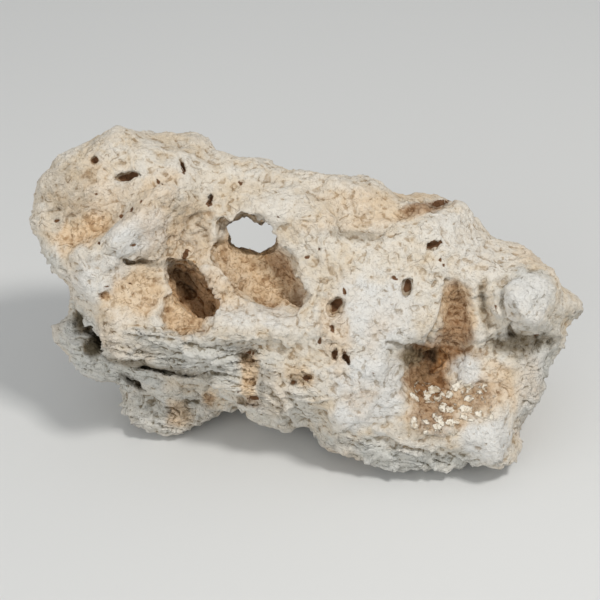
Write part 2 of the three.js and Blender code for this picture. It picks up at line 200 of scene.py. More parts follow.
def coordinates(mesh):
    """The vertices of a mesh, in millimetres."""
    flat = np.empty(len(mesh.vertices) * 3, dtype=np.float32)
    mesh.vertices.foreach_get("co", flat)
    return flat.reshape(-1, 3).astype(float) / MM


def normals(mesh):
    """The normals at the vertices of a mesh."""
    flat = np.empty(len(mesh.vertices) * 3, dtype=np.float32)
    mesh.vertices.foreach_get("normal", flat)
    return flat.reshape(-1, 3).astype(float)


def edges(mesh):
    """The two vertices of each edge of a mesh."""
    flat = np.empty(len(mesh.edges) * 2, dtype=np.int32)
    mesh.edges.foreach_get("vertices", flat)
    return flat.reshape(-1, 2)


def place(mesh, points):
    """Moves the vertices of a mesh to points in millimetres."""
    mesh.vertices.foreach_set("co", (points * MM).astype(np.float32).ravel())
    mesh.update()


def relaxed(values, pairs, rounds):
    """Values at the vertices, each moved halfway to the mean of its neighbours, again and again."""
    out = values.reshape(len(values), -1).copy()
    a, b = pairs[:, 0], pairs[:, 1]
    count = np.bincount(a, minlength=len(out)) + np.bincount(b, minlength=len(out))
    for _ in range(rounds):
        for k in range(out.shape[1]):
            near = np.bincount(a, out[b, k], len(out)) + np.bincount(b, out[a, k], len(out))
            out[:, k] += 0.5 * (near / count - out[:, k])
    return out.reshape(values.shape)


def with_modifier(mesh, kind, **settings):
    """A new mesh: this one with a modifier applied."""
    holder = bpy.data.objects.new("holder", mesh)
    bpy.context.scene.collection.objects.link(holder)
    modifier = holder.modifiers.new(kind, kind)
    for key, value in settings.items():
        setattr(modifier, key, value)
    graph = bpy.context.evaluated_depsgraph_get()
    made = bpy.data.meshes.new_from_object(holder.evaluated_get(graph))
    bpy.data.objects.remove(holder)
    return made


def face_frame(points):
    """Points of the row frame as u, v, w."""
    p = points - FACE_ORIGIN
    v = p[:, 1] * math.sin(LEAN) + p[:, 2] * math.cos(LEAN)
    w = -p[:, 1] * math.cos(LEAN) + p[:, 2] * math.sin(LEAN)
    return np.stack([p[:, 0], v, w], axis=1)


def from_face(vectors):
    """Vectors u, v, w as vectors of the row frame."""
    u, v, w = vectors.T
    sine, cosine = math.sin(LEAN), math.cos(LEAN)
    return np.stack([u, v * sine - w * cosine, v * cosine + w * sine], axis=1)


def facings(directions):
    """How much each direction of the row frame points out of the face, from -1 to 1."""
    return face_frame(directions + FACE_ORIGIN)[:, 2]


def patches(where, table, seed, ragged=0.3):
    """The strongest at each point of several ragged ellipsoids, each fading to 0 at its edge."""
    wander = ragged * fractal(where, PATCH_NOTCH, seed, 3)
    total = np.zeros(len(where))
    for at, size, turn, strength in table:
        near = np.nonzero(np.abs(where - np.array(at)).max(axis=1) < PATCH_REACH * max(size))[0]
        d = where[near] - np.array(at)
        a = math.radians(turn)
        along = (d[:, 0] * math.cos(a) + d[:, 1] * math.sin(a)) / size[0]
        across = (d[:, 1] * math.cos(a) - d[:, 0] * math.sin(a)) / size[1]
        out = np.sqrt(along**2 + across**2 + (d[:, 2] / size[2]) ** 2) + wander[near]
        inside = strength * (1 - smoothstep(1 - PATCH_EDGE, 1 + PATCH_EDGE, out))
        total[near] = np.maximum(total[near], inside)
    return total


def path_offsets(where, path):
    """How far each point is from a line through points (u, v), and on which side: 1 for left of it."""
    off = np.full(len(where), FAR)
    side = np.zeros(len(where))
    for (u0, v0), (u1, v1) in zip(path, path[1:]):
        du, dv = u1 - u0, v1 - v0
        along = ((where[:, 0] - u0) * du + (where[:, 1] - v0) * dv) / (du * du + dv * dv)
        t = np.clip(along, 0, 1)
        gap = np.hypot(where[:, 0] - u0 - t * du, where[:, 1] - v0 - t * dv)
        left = du * (where[:, 1] - v0) - dv * (where[:, 0] - u0)
        side = np.where(gap < off, np.sign(left), side)
        off = np.minimum(off, gap)
    return off, side


def stepped(where, path, step, reach):
    """The height of a step along a path: up on its left as it runs, and down on its right."""
    off, side = path_offsets(where, path)
    ragged = off * side + 1.2 * noise(where, 5, 77)
    return step * (smoothstep(-0.7, 0.7, ragged) - 0.5) * np.exp(-((off / reach) ** 2))


def openness(points, directions, tree):
    """How much of the sky above each point is free, from 0 to 1."""
    rng = np.random.default_rng(SKY_SEED)
    sky = rng.normal(size=(SKY_RAYS, 3))
    sky /= np.linalg.norm(sky, axis=1)[:, None]
    free = np.zeros(len(points))
    starts = (points + directions * SKY_START) * MM
    for s in sky:
        ways = directions + s * SKY_SPREAD
        ways /= np.linalg.norm(ways, axis=1)[:, None]
        for i, (start, way) in enumerate(zip(starts.tolist(), ways.tolist())):
            if tree.ray_cast(start, way, SKY_REACH * MM)[0] is None:
                free[i] += 1
    return free / SKY_RAYS


def nearest_values(tree, values, points):
    """The values at the nearest known points, weighted by how close they are."""
    found = np.empty(len(points))
    for i, p in enumerate(points.tolist()):
        near = tree.find_n(p, KNOWN_USED)
        weights = [1 / (gap + KNOWN_GAP) for _, _, gap in near]
        found[i] = sum(w * values[k] for w, (_, k, _) in zip(weights, near)) / sum(weights)
    return found


def openness_of(solid):
    """A function that gives the openness at points, worked out on a coarse copy of the solid."""
    tree = BVHTree.FromPolygons(
        [v.co for v in solid.vertices], [list(p.vertices) for p in solid.polygons]
    )
    probe = with_modifier(solid.copy(), "REMESH", mode="VOXEL", voxel_size=PROBE_GRID * MM)
    spots = coordinates(probe)
    free = relaxed(openness(spots, normals(probe), tree), edges(probe), 3)
    known = KDTree(len(spots))
    for i, p in enumerate(spots.tolist()):
        known.insert(p, i)
    known.balance()
    return lambda points: nearest_values(known, free, points)


# ---------------------------------------------------------------- the rock's surface

# A patch in a table is its centre, its half sizes, its turn and its strength, in the face frame.
# Where the bedding shows as ledges
LEDGES = [
    ((-62, -27, 22), (50, 14, 30), -9, 1.0),
    ((-100, -28, 0), (34, 26, 30), -30, 0.8),
    ((-75, -58, -12), (32, 18, 26), -10, 0.9),
    ((-14, -48, 22), (22, 20, 26), -30, 0.8),
    ((46, -80, 8), (60, 10, 34), -8, 1.0),
    ((114, -48, 6), (10, 38, 30), 0, 0.4),
    ((74, -5, 20), (8, 15, 14), 0, 0.2),
]
LEDGE_STEP = 4.0  # mean thickness of a layer
BEDDING_WAVES = [(4.5, 26, 31), (2.4, 11, 33), (0.8, 5, 35)]  # height, size and seed
LEDGE_HEIGHT = 3.5  # how far the edge of a layer stands out
LIP_LEVEL = 0.35  # how much of a layer's edge lies under the mean surface
# Dark gaps between beds: path, half width and depth
GAPS = [
    ([(-108, -15), (-101, -25), (-95, -30), (-90, -31), (-81, -32)], 1.8, 3.5),
    ([(-57, -38.5), (-48, -38), (-41, -37)], 1.2, 1.6),
    ([(-50, -45.5), (-44, -46), (-37, -47)], 1.2, 2.0),
    ([(-92, -40), (-86, -44)], 1.4, 2.5),
    ([(-35, -50), (-25, -54)], 1.2, 2.0),
    ([(39, -21), (50, -23.5), (61, -25.5)], 1.2, 2.0),
    ([(97, 11), (94, 7), (93.5, -2), (96, -11), (102, -17)], 1.5, 3.0),
    ([(87, 9), (85, 2), (85.5, -6), (90, -14)], 1.6, 1.4),
    ([(69, 9), (66.5, -4), (63, -14), (60, -22)], 1.4, 1.8),
    ([(100, -17), (108, -19.5), (118, -18)], 1.4, 2.0),
    ([(63, -26), (64, -33), (62, -37)], 1.3, 2.0),
    ([(-88, 17.6), (-82, 19), (-76, 18)], 0.9, 2.0),
]

# Slots of the solid that are narrower here: patches, whose strength is the share taken off
NARROWED = [((-72, -35.5, 14), (28, 9, 22), -10, 0.5)]

# Steps: the rock stands out on the left of the path as it runs, and falls back on its right.
# Path, height of the step, and how far from the path it dies away
STEPS = [
    ([(-94, -41.5), (-87, -46.5), (-78, -51), (-70, -53), (-60, -50), (-51, -48), (-44, -50)], 2.6, 5),
    ([(-97, -22), (-88, -24), (-76, -26), (-66, -29), (-55, -31), (-45, -31)], 1.6, 4),
    ([(-84, -17), (-74, -18), (-63, -19), (-52, -23), (-40, -22), (-30, -20)], 1.3, 4),
    ([(14, -67), (28, -70), (40, -69), (55, -74), (70, -76), (82, -82)], 1.6, 4),
    ([(-22, -38), (-17, -46), (-12, -52), (-8, -60)], 2.0, 4),
    ([(-12, -38), (-8, -46), (-3, -54), (2, -62)], 1.6, 4),
]

# Inside the blind hole the layers show as ridges that run along it
BLIND_TURN = -48
BLIND_LAYERS = [((-56, 4, 4), (19, 12, 24), BLIND_TURN, 1.0)]
BLIND_ACROSS = math.radians(BLIND_TURN + 90)
BLIND_STEP = 4.4
BLIND_HEIGHT = 2.4

# Where the surface is coarse and crumbly
CRUMBLY = [
    ((-58, 29, 28), (12, 17, 18), 10, 0.55), ((-47, 46, 28), (9, 12, 14), 0, 0.5),
    ((-42, 8, 24), (8, 18, 18), 42, 0.4), ((-60, -8, 28), (12, 11, 14), 0, 0.6),
    ((-22, 12, 12), (26, 15, 18), -42, 0.6), ((12, -16, 38), (8, 26, 18), 8, 0.7),
    ((-28, -38, 20), (8, 16, 16), 0, 1.0), ((-4, -38, 34), (10, 8, 14), 0, 0.6),
    ((70, -12, 20), (10, 16, 16), 0, 0.5), ((66, -44, 16), (22, 22, 20), 0, 0.9),
    ((104, -25, 16), (20, 6, 16), 0, 0.7), ((24, 32, 32), (16, 5, 12), -8, 0.7),
    ((60, 47, 20), (16, 5, 14), 15, 0.7), ((-66, -60, -11), (14, 12, 14), 0, 0.5),
    ((-116, 48, 30), (12, 16, 18), 10, 0.35),
]
# Where it is worn smooth
CALM = [
    ((110, 1, 44), (14, 14, 18), 0, 0.35), ((-83, 31, 44), (14, 10, 14), 30, 0.75),
    ((34, -6, 42), (20, 18, 18), 0, 0.4), ((-104, 46, 32), (20, 18, 18), 35, 0.45),
    ((90, -72, 28), (16, 12, 16), 0, 0.5), ((-18, 46, 34), (20, 8, 16), -14, 0.5),
    ((-29, -37, 20), (6, 12, 14), 0, 0.8),
    ((29, 46, 26), (18, 12, 16), 0, 0.45), ((-83, 4, 34), (12, 12, 12), 0, 0.5),
]

# Flat facets of the knob: a point on each, and the way it faces, as u, v, w
KNOB = [((109, -1, 44), (17, 16, 14), 0, 1.0)]
KNOB_FACETS = [
    ((107, -3, 46.0), (0.16, 0.14, 1)), ((97, -6, 44), (-0.75, -0.3, 0.7)),
    ((104, -14, 43), (-0.1, -0.85, 0.6)), ((118, -5, 41.5), (0.75, -0.25, 0.75)),
    ((104, 9, 43.5), (-0.2, 0.8, 0.65)), ((116, 6, 41.5), (0.6, 0.6, 0.7)),
]

# Pits on the face: (u, v), half widths, turn of the long way. The first ones are the solid's own.
PITS = [
    ((67, 48.5), (6, 1.6), 15), ((-87.5, 60), (6, 1.7), 8), ((-104.5, 68.5), (2.2, 1.5), 0),
    ((-47.5, 49), (1.2, 3.2), -14), ((-61, 65.5), (1.0, 4.6), 12),
    ((62, 27), (3.8, 1.9), 10), ((49, 6), (4.2, 1.7), 80), ((14, -3), (4.4, 1.8), 65),
    ((13.5, -27), (1.1, 3), -10), ((19, -28.5), (1.2, 3.8), 25), ((0, -38.5), (2, 1.4), 0),
    ((-6.5, -41), (1.4, 1.0), 0), ((-28, -26.5), (2.8, 0.8), -6), ((-24, -42), (1.2, 1.0), 0),
    ((-27, -49), (3, 1.1), 0), ((-34, -46), (1.4, 0.8), 10), ((42.5, 10.5), (1.8, 1.0), -30),
    ((-80, 47), (1.3, 0.9), 40), ((-85, 43.5), (0.9, 1.8), -20), ((-90.5, 40.5), (1.2, 1.2), 0),
    ((-72, 57), (0.8, 1.6), 30), ((-103, 51.5), (1.1, 0.8), 0), ((-123, 38.5), (1.4, 1.0), 20),
    ((-83.5, 26), (1.7, 0.9), 30), ((65, 19.5), (0.9, 1.1), 0), ((66.5, 16.5), (0.9, 0.9), 0),
    ((5.8, 24.6), (1.1, 0.8), 0), ((0, 20.7), (1.5, 0.9), 10), ((-97, 6), (1.3, 0.8), 0),
    ((91.5, -4), (0.8, 1.5), 0), ((-60, 22), (1.2, 2.6), -15), ((-14, 40), (1.4, 0.7), -30),
    ((18, 4), (1.0, 1.8), 20), ((12, -14), (1.0, 2.4), 10), ((6, -20), (0.9, 2.0), 0),
]
PIT_DEPTH = 0.8  # depth of a pit, as a share of its mean half width
DARK_PIT = 4  # a pit whose half widths add up to less than this is less dark


def chips(points, size, seed):
    """Close-packed flat facets, each tilted and set a little higher or lower than the next."""
    p = points / size + CELL_WARP * warp(points, size * 1.5, seed)
    nearest = np.full(len(p), FAR)
    height = np.zeros(len(p))
    for cell in neighbours(p):
        gap = p - cell - hashed3(cell, seed)
        far = np.linalg.norm(gap, axis=1)
        tilt = hashed3(cell, seed + 31) - 0.5
        own = hashed(cell, seed + 67) - 0.5 + CHIP_TILT * np.einsum("ij,ij->i", gap, tilt)
        height = np.where(far < nearest, own, height)
        nearest = np.minimum(nearest, far)
    return height


def plates(points, size, seed):
    """Worn plates with wavy edges, a step above or below each other."""
    total = np.zeros(len(points))
    for k in (0, 1):
        wave = fractal(points, size, seed + 7 * k, 2, 0.4)
        total += smoothstep(-0.07, 0.07, wave) - 0.5
    return total


def creases(points, size, seed):
    """Broken wavy cracks, from 0 to 1."""
    line = smoothstep(0.16, 0.0, np.abs(fractal(points, size, seed, 2, 0.5)))
    stretch = smoothstep(0.1, 0.4, noise(points, size * 0.8, seed + 41))
    return line * stretch * smoothstep(-0.1, 0.35, noise(points, size * 2.4, seed + 60))


def crumbs(points, size, seed):
    """Close-packed rounded lumps, from 0 between them to 1 on top."""
    near, _ = cells(points + CELL_WARP * size * warp(points, size * 1.6, seed), size, seed)
    return 1 - smoothstep(0.0, 0.85, near)


def layers(where):
    """The bedding: which layer a point is in, and how far up that layer it is, from 0 to 1."""
    level = where[:, 1] + BEDDING_U * where[:, 0] + BEDDING_W * where[:, 2]
    for height, size, seed in BEDDING_WAVES:
        level = level + height * noise(where, size, seed)
    layer = level / LEDGE_STEP
    return np.floor(layer), layer - np.floor(layer)


def shingles(where, seed):
    """Short overlapping edges of layers: each stands out for a stretch, then dies away."""
    number, within = layers(where)
    slid = where + 50 * hashed3(np.stack([number] * 3, axis=1), seed)
    stretch = smoothstep(-0.15, 0.5, noise(slid * np.array([1, 0.3, 0.5]), 9, seed))
    lip = smoothstep(0, 0.2, within) * (1 - within) ** 0.8
    return stretch * (lip - LIP_LEVEL)


def pitted(where, facing):
    """How far into one of the pits each point is, from 0 to 1, and how deep the pit is there."""
    inside = np.zeros(len(where))
    depth = np.zeros(len(where))
    wobble = 0.4 * noise(where, 3.2, 66) + 0.25 * noise(where, 1.6, 67)
    for (u, v), (long, wide), turn in PITS:
        a = math.radians(turn)
        du, dv = where[:, 0] - u, where[:, 1] - v
        along = (du * math.cos(a) + dv * math.sin(a)) / long
        across = (dv * math.cos(a) - du * math.sin(a)) / wide
        gap = np.hypot(along, across) + wobble
        share = (facing > 0) * (where[:, 2] > 0) * smoothstep(1.15, 0.6, gap)
        depth = np.maximum(depth, share * PIT_DEPTH * (long + wide) / 2)
        inside = np.maximum(inside, share * min(1, (long + wide) / DARK_PIT))
    return inside, depth


def scattered(points, calm):
    """A few pits anywhere, from 0 to 1."""
    near, pick = cells(points + 1.5 * noise(points, 3, 63)[:, None], SCATTERED, 61)
    return smoothstep(0.72, 0.8, pick) * smoothstep(0.12, 0.06, near) * (1 - calm)


def faceted(where):
    """How far each point of the knob stands out of its facets, as a vector u, v, w."""
    out = np.zeros_like(where)
    share = patches(where, KNOB, 45, ragged=0.1)
    for at, way in KNOB_FACETS:
        way = np.array(way) / np.linalg.norm(way)
        proud = np.einsum("ij,j->i", where + out - np.array(at), way)
        out -= (share * np.maximum(proud, 0))[:, None] * way
    return out


def narrowed(mesh):
    """The mesh with some slots squeezed towards their middle plane."""
    points = coordinates(mesh)
    where = face_frame(points)
    shift = np.zeros_like(where)
    for at, size, turn, share in NARROWED:
        a = math.radians(turn)
        across = np.array([-math.sin(a), math.cos(a), 0.0])
        off = (where - np.array(at)) @ across
        near = patches(where, [(at, size, turn, share)], 46, ragged=0)
        shift -= (near * off)[:, None] * across
    place(mesh, points + from_face(shift))
    return with_modifier(mesh, "REMESH", mode="VOXEL", voxel_size=GRID * MM)


def smoothed(mesh):
    """Smooths the CAD facets away. Returns how much each point belongs to the flat underside."""
    pairs = edges(mesh)
    start = coordinates(mesh)
    smooth = relaxed(start, pairs, round(FACET_SMOOTHING / GRID**2))
    # The rims of holes stay crisp: only the facets between them are smoothed.
    moved = np.linalg.norm(smooth - start, axis=1)
    kept = relaxed(RIM_KEPT * smoothstep(*RIM_SHIFT, moved), pairs, 2)
    on_ground = smoothstep(*GROUND_RISE, start[:, 2])
    place(mesh, smooth + (start - smooth) * np.maximum(kept, on_ground)[:, None])
    points = coordinates(mesh)
    place(mesh, points + from_face(faceted(face_frame(points))))
    return on_ground


def zones(where, out, facing, sky):
    """How ledgy, calm and rough the surface is at each point, from 0 to 1."""
    edge_on = smoothstep(0.5, 0.15, np.abs(facing)) * smoothstep(0.4, -0.2, out[:, 2])
    calm = patches(where, CALM, 60)
    ledgy = np.maximum(patches(where, LEDGES, 40), 0.6 * edge_on) * (1 - 0.8 * calm)
    rough = np.maximum(patches(where, CRUMBLY, 80), 0.6 * smoothstep(0.5, 0.3, sky))
    # The rough stretches of the back aren't in the table.
    behind = smoothstep(0.1, -0.2, facing) * smoothstep(0.1, 0.5, fractal(where, 30, 88, 2))
    rough = np.maximum(rough, 0.5 * behind) * (1 - 0.8 * patches(where, CLEAN, 180))
    return ledgy, calm, rough


def wear(points, where, ledgy, calm, rough):
    """The height of the natural surface: lumps, chips, plates, cracks and crumbs."""
    plain = (1 - 0.7 * calm) * (1 - 0.35 * ledgy)
    height = LUMP_HEIGHT * noise(points, LUMP, 3) * plain
    height += SMALL_LUMP_HEIGHT * noise(points, SMALL_LUMP, 4) * plain
    height += CHIP_HEIGHT * chips(points, CHIP, 5) * plain
    height += (PLATE_HEIGHT * plain + ROUGH_PLATE_HEIGHT * rough) * plates(points, PLATE, 95)
    height += (SMALL_CHIP_HEIGHT + 0.35 * rough + 0.2 * ledgy) * chips(points, SMALL_CHIP, 6)
    height += GRANULE_HEIGHT * noise(points, GRANULE, 7) * (0.5 + rough)
    crack_depth = CREASE_DEPTH * (1 - 0.6 * calm) * (1 + 0.7 * rough) * (1 - 0.5 * ledgy)
    height -= crack_depth * creases(where * CREASE_STRETCH, CREASE, 98)
    lumps = CRUMB_HEIGHT * crumbs(points, CRUMB, 51)
    lumps = lumps + SMALL_CRUMB_HEIGHT * crumbs(points, SMALL_CRUMB, 55)
    height += rough * (lumps - CRUMB_MEAN)
    return height


def bedded(where, ledgy):
    """The height of the layers' edges, at two sizes."""
    return LEDGE_HEIGHT * ledgy * (1.6 * shingles(where, 36) + 0.4 * shingles(where * 0.6, 37))


def blind_ridges(where, sky):
    """The height of the ridges inside the blind hole."""
    inside = patches(where, BLIND_LAYERS, 73) * smoothstep(0.75, 0.45, sky)
    level = where[:, 0] * math.cos(BLIND_ACROSS) + where[:, 1] * math.sin(BLIND_ACROSS)
    within = (level + 0.35 * where[:, 2] + 2.5 * noise(where, 8, 74)) / BLIND_STEP % 1
    return BLIND_HEIGHT * inside * (smoothstep(0, 0.25, within) * (1 - within) - LIP_LEVEL)


def weather(mesh, openness_at):
    """Wears the surface: lumps, chips, ledges, gaps, crumbly hollows and pits."""
    on_ground = smoothed(mesh)
    points = coordinates(mesh)
    out = normals(mesh)
    where = face_frame(points)
    facing = facings(out)
    sky = openness_at(points)
    ledgy, calm, rough = zones(where, out, facing, sky)

    height = wear(points, where, ledgy, calm, rough)
    height += GRAIN_HEIGHT * patches(where, GRAINS, 190) * (crumbs(points, GRAIN, 57) - 0.5)
    height += bedded(where, ledgy)
    height += blind_ridges(where, sky)
    # Gaps and steps run over the front only.
    front = (facing > FRONT_FACING) & (where[:, 2] > FRONT_DEPTH)
    for path, half_width, depth in GAPS:
        off, _ = path_offsets(where, path)
        off = off / (half_width * (1 + 0.5 * noise(where, 6, 71)))
        height -= depth * front * np.exp(-(off**2.5))
    for path, step, reach in STEPS:
        height += front * stepped(where, path, step, reach)
    height -= pitted(where, facing)[1]
    height -= SCATTERED_DEPTH * scattered(points, calm)

    height = (height - SURFACE_SUNK) * (1 - on_ground)
    place(mesh, points + out * height[:, None])


# ---------------------------------------------------------------- stains and painted shade

# Where each stain or tone lies: patches again
TAN = [
    ((-107, 33, 28), (17, 10, 16), 20, 0.8), ((-104, 46, 28), (24, 18, 20), 35, 0.3),
    ((-83, 4, 32), (13, 13, 14), 0, 0.6), ((-60, -7, 24), (13, 12, 16), 0, 0.9),
    ((-57, 29, 28), (12, 17, 16), 0, 0.55), ((-42, 7, 22), (10, 17, 16), 42, 0.5),
    ((-23.5, 15, 8), (31, 17, 24), -42, 0.85), ((28, 45, 25), (20, 12, 16), 0, 0.3),
    ((92, -43, 20), (15, 12, 16), 0, 0.5), ((14, -16, 36), (7, 20, 14), 8, 0.4),
    ((-29, -37, 19), (5, 14, 14), 0, 0.8), ((-66, -59, -12), (6, 8, 12), 20, 0.6),
    ((-50, -51.5, -8), (4.5, 3.5, 10), 20, 0.8), ((-3, -38, 33), (7, 5, 12), 0, 0.6),
    ((50, 43, 22), (13, 4, 12), 20, 0.6), ((66, -44, 16), (22, 22, 18), 0, 0.7),
    ((74, -6, 20), (10, 17, 16), 0, 0.85), ((-98.5, 2, 34), (3.5, 3, 6), 0, 0.9),
]
BROWN = [
    ((71.5, 4, 22), (4.5, 8, 12), 0, 0.5), ((73.5, -6, 20), (8, 8, 12), 0, 0.6),
    ((74, -16, 18), (12, 8, 14), 0, 0.75), ((64, -27, 14), (19, 7, 14), 0, 0.9),
    ((60, -39, 14), (12, 13, 14), 0, 0.95), ((62, -55, 20), (13, 12, 14), 0, 0.6),
    ((84, -47, 20), (10, 9, 12), 0, 0.5), ((76, -27, 16), (12, 6, 12), 0, 0.6),
    ((60, 46.5, 20), (13, 3.5, 14), 17, 0.75), ((-56, 3, 10), (17, 11, 22), -46, 0.5),
    ((-12, 16, 12), (5, 14, 14), 40, 0.6), ((-4, 1, 18), (3, 9, 12), 10, 0.35),
    ((-56, -13, 24), (9, 5, 12), -20, 0.3), ((-29, -30, 22), (4, 3, 10), 0, 0.2),
    ((-28, -52, 18), (4, 3, 10), 0, 0.3), ((-99, 2, 34), (2.6, 1.6, 8), 0, 0.6),
    ((-68.5, -64, -14), (5, 3, 10), 20, 0.2), ((-50, -51.5, -8), (3, 2, 8), 20, 0.7),
]
# Olive-grey tint; along the gaps between beds, under the knob and in the grooves it is painted shade
OLIVE_AND_SHADE = [
    ((105, -21.5, 16), (19, 5.5, 16), 2, 0.8), ((51, -28.5, 20), (13, 5, 14), -4, 0.9),
    ((23, 31.5, 33), (13, 3, 10), -8, 0.5), ((-113, -10, 0), (7, 7, 12), -50, 1.0),
    ((-108, -24, -2), (6, 6, 10), 0, 0.9), ((87, -8, 26), (2.5, 15, 12), 8, 0.4),
    ((-90, -31, 10), (26, 3, 16), -10, 0.7), ((-117, 50, 30), (11, 15, 14), 0, 0.35),
    ((107, -26, 18), (9, 3.5, 14), 10, 0.5), ((56, -34, 16), (8, 8, 14), 0, 0.35),
    ((-56, 40, 28), (8, 13, 14), 15, 0.2), ((-62, 22, 28), (8, 5, 12), -10, 0.2),
    ((-60, -37, 14), (20, 2.5, 14), -12, 0.5), ((54, -66, 20), (14, 4, 12), -10, 0.3),
]
WHITE = [
    ((79, -36, 20), (8, 7, 10), 0, 0.85), ((90, -70, 28), (17, 12, 16), 0, 0.9),
    ((-82, 31, 44), (16, 11, 14), 30, 0.9), ((-103, 12, 34), (18, 11, 16), 35, 0.6),
    ((34, -8, 42), (20, 20, 18), 0, 0.8), ((-45, 12, 30), (10, 7, 12), 30, 0.3),
    ((30, -46, 36), (18, 22, 18), 0, 0.9), ((80, 30, 24), (22, 12, 18), -30, 0.4),
    ((-28, -8, 30), (30, 6, 14), -4, 0.5),
    ((112, -48, 10), (9, 30, 20), 0, 0.5), ((108, 0, 44), (14, 12, 14), 0, 0.7),
]
# Grey tone; on the lower beds and the bottom band it also stands for their shade, and the patch on the
# knob is painted shade
GREY = [
    ((-62, -28, 26), (50, 13, 26), -8, 0.7), ((-104, -28, 0), (34, 26, 30), -30, 0.8),
    ((-80, -60, -12), (30, 18, 26), 0, 0.6), ((46, -82, 6), (64, 11, 34), -8, 0.8),
    ((118, -44, 6), (12, 40, 34), 0, 0.8), ((-14, -54, 18), (26, 14, 26), -30, 0.5),
    ((-128, 10, 20), (12, 26, 24), 30, 0.5), ((112, -20, 20), (20, 20, 20), 0, 0.4),
    ((40, -30, 36), (16, 26, 18), 0, 0.4), ((110, 6, 42), (18, 14, 16), 0, 0.6),
]
# Where no stain lies
CLEAN = [((79, -36, 20), (9.5, 8.5, 12), 0, 0.95), ((-56, 30, 28), (8, 9, 12), 0, 0.4)]
# Painted shade: near black in the gaps, grooves and undercuts, where shade falls
PAINTED_SHADE = [
    ((-113, -10, 0), (5.5, 6, 12), -50, 1.0), ((-107, -22, -2), (4.5, 7.5, 12), -40, 0.95),
    ((67, 48.5, 22), (7, 2.2, 10), 15, 0.95), ((63.5, -29, 14), (2, 7, 12), 0, 0.7),
    ((-91, -41.5, -6), (6, 2.5, 14), -40, 0.8), ((-68, -36.5, 14), (15, 1.5, 14), -10, 0.9),
    ((-23, -46, 22), (1.5, 4, 10), 20, 0.5), ((100, -18, 20), (8, 1.5, 12), 0, 0.4),
    ((-72, 17.5, 30), (16, 1.5, 10), 0, 0.5), ((86, 1, 28), (1.4, 8, 12), 5, 0.6),
    ((-62, 9, 4), (9, 5, 22), -48, 0.5),
]
# Where pale grains lie
GRAINS = [
    ((79, -51, 20), (15, 9, 16), -8, 1.0), ((59, -46.5, 16), (8, 5, 14), 0, 0.9),
    ((64, -62, 22), (14, 6, 14), 0, 0.8),
]
# Crevices, darkened as painted shade, and crests, lightened as painted highlight: the rounds of
# smoothing that the surface is held against, and the heights between which they go from 0 to 1
CREVICE_ROUNDS, CREVICE_RANGE = 5, 0.8
CREST_ROUNDS, CREST_RANGE = 40, 2.4


def attribute(mesh, name, columns):
    """Three numbers a vertex, which the material reads as a colour."""
    data = np.ones((len(mesh.vertices), 4), dtype=np.float32)
    data[:, :3] = np.stack(columns, axis=1)
    layer = mesh.attributes.new(name, "FLOAT_COLOR", "POINT")
    layer.data.foreach_set("color", data.ravel())


def stain(mesh, openness_at):
    """Writes where the surface is stained, worn or deep, and where shade and highlight are painted,
    for the material.
    """
    points = coordinates(mesh)
    where = face_frame(points)
    out = normals(mesh)
    pairs = edges(mesh)
    facing = facings(out)
    on_face = smoothstep(-40, -25, where[:, 2] + 30 * facing)
    deep = smoothstep(0.5, 0.15, openness_at(points))
    fine = np.einsum("ij,ij->i", relaxed(points, pairs, CREVICE_ROUNDS) - points, out)
    broad = np.einsum("ij,ij->i", relaxed(points, pairs, CREST_ROUNDS) - points, out)
    crevice = np.clip(0.5 + fine / CREVICE_RANGE, 0, 1)
    crest = np.clip(0.5 - broad / CREST_RANGE, 0, 1)

    drift = smoothstep(0.1, 0.7, fractal(points, 45, 91, 3))
    white = patches(where, WHITE, 150) * on_face
    # Faces turned down are greyed as painted shade.
    grey = np.maximum(patches(where, GREY, 170), 0.5 * smoothstep(0.1, -0.5, out[:, 2]))
    # Tan also drifts over the whole stone, and lies deep inside it where it isn't grey.
    tan = np.maximum(patches(where, TAN, 70) * on_face, 0.3 * drift)
    tan = np.maximum(tan, 0.75 * smoothstep(0.1, 0.6, deep) * (1 - grey))
    brown = patches(where, BROWN, 110) * on_face
    # Deep inside the grey parts the olive is painted shade.
    olive = np.maximum(patches(where, OLIVE_AND_SHADE, 130) * on_face, smoothstep(0.1, 0.7, deep) * grey)
    clean = 1 - patches(where, CLEAN, 180)
    grain = patches(where, GRAINS, 190) * on_face
    # Painted shade in the gaps, grooves and undercuts
    grime = patches(where, PAINTED_SHADE, 200) * on_face
    pits = np.maximum(pitted(where, facing)[0], scattered(points, patches(where, CALM, 60)))
    ledgy = np.maximum(patches(where, LEDGES, 40), 0.5 * (1 - np.abs(facing)))
    attribute(mesh, "stain", [tan * clean, brown * clean, olive * clean])
    attribute(mesh, "tone", [white, grey, grain])
    attribute(mesh, "relief", [crevice, crest, deep])
    attribute(mesh, "form", [pits, ledgy, grime])


# ---------------------------------------------------------------- material

def srgb(r, g, b):
    """An sRGB colour of 0 to 255 as a linear RGBA colour."""
    parts = [c / 255 for c in (r, g, b)]
    return [c / 12.92 if c <= 0.04045 else ((c + 0.055) / 1.055) ** 2.4 for c in parts] + [1.0]


CREAM = srgb(221, 212, 197)
WARM = srgb(214, 198, 174)
TAN_COLOUR = srgb(226, 196, 158)
DEEP_TAN = srgb(250, 216, 170)
DEEP_BROWN = srgb(186, 136, 86)
BROWN_COLOUR = srgb(150, 112, 76)
# Olive-grey, partly for painted shade
OLIVE_AND_SHADE_COLOUR = srgb(124, 109, 84)
# Also used for the painted highlight on crests
WHITE_COLOUR = srgb(220, 218, 213)
# Grey, which also stands for the shade of the lower beds and of faces turned down
GREY_COLOUR = srgb(197, 197, 191)
GRAIN_COLOUR = srgb(240, 231, 214)
# The pits' colour: a brown stain, darkened as painted shade
PIT_COLOUR = srgb(108, 75, 49)
# Near black, for the painted shade in the gaps, grooves and undercuts
PAINTED_SHADE_COLOUR = srgb(74, 66, 50)
